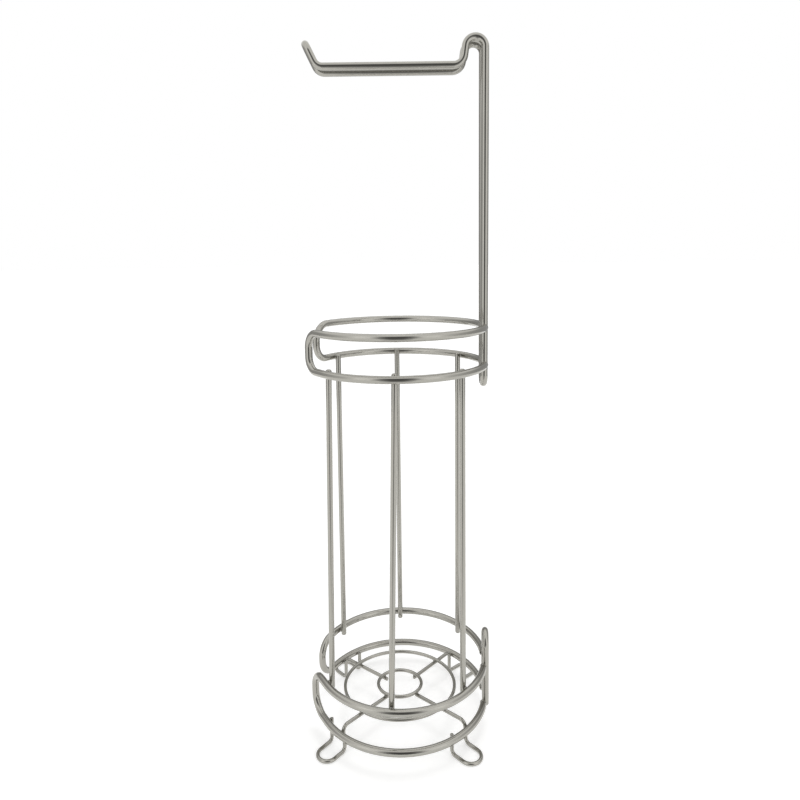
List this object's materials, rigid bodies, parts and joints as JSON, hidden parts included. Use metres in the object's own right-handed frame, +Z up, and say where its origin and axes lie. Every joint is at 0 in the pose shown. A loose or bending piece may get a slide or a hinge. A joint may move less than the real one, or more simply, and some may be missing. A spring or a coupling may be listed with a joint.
{
  "type": "toilet roll holder",
  "caption": "Free-standing toilet roll holder of welded satin wire, with a turned-up arm for the roll in use over a round cage for spare rolls, on wire feet.",
  "frame": {"origin": "on the floor, on the rings' axis, which is the middle of the stand's outline seen from above", "axes": "+Z up, -X along the arm towards its turned-up tip, +X towards the upright, -Y the front in the picture"},
  "size_m": [0.1584, 0.1562, 0.5919],
  "materials": {
    "thick_wire": "satin nickel plate, evenly blurred reflections",
    "rod": "satin nickel plate, evenly blurred reflections",
    "thin_wire": "satin nickel plate, evenly blurred reflections"
  },
  "bodies": {
    "root": {"arm_and_upright": "thick_wire", "upper_band_front": "thick_wire", "upper_band_rear": "thick_wire", "lower_band_front": "thick_wire", "lower_band_rear": "thick_wire", "band_hairpin": "thick_wire", "rod_front_left": "rod", "rod_front_middle": "rod", "rod_front_right": "rod", "rod_rear_left": "rod", "rod_rear_middle": "rod", "rod_rear_right": "rod", "grille_outer_ring": "thin_wire", "grille_inner_ring": "thin_wire", "leg_front_left": "thin_wire", "leg_front_right": "thin_wire", "leg_rear_left": "thin_wire", "leg_rear_right": "thin_wire"}
  },
  "joints": []
}
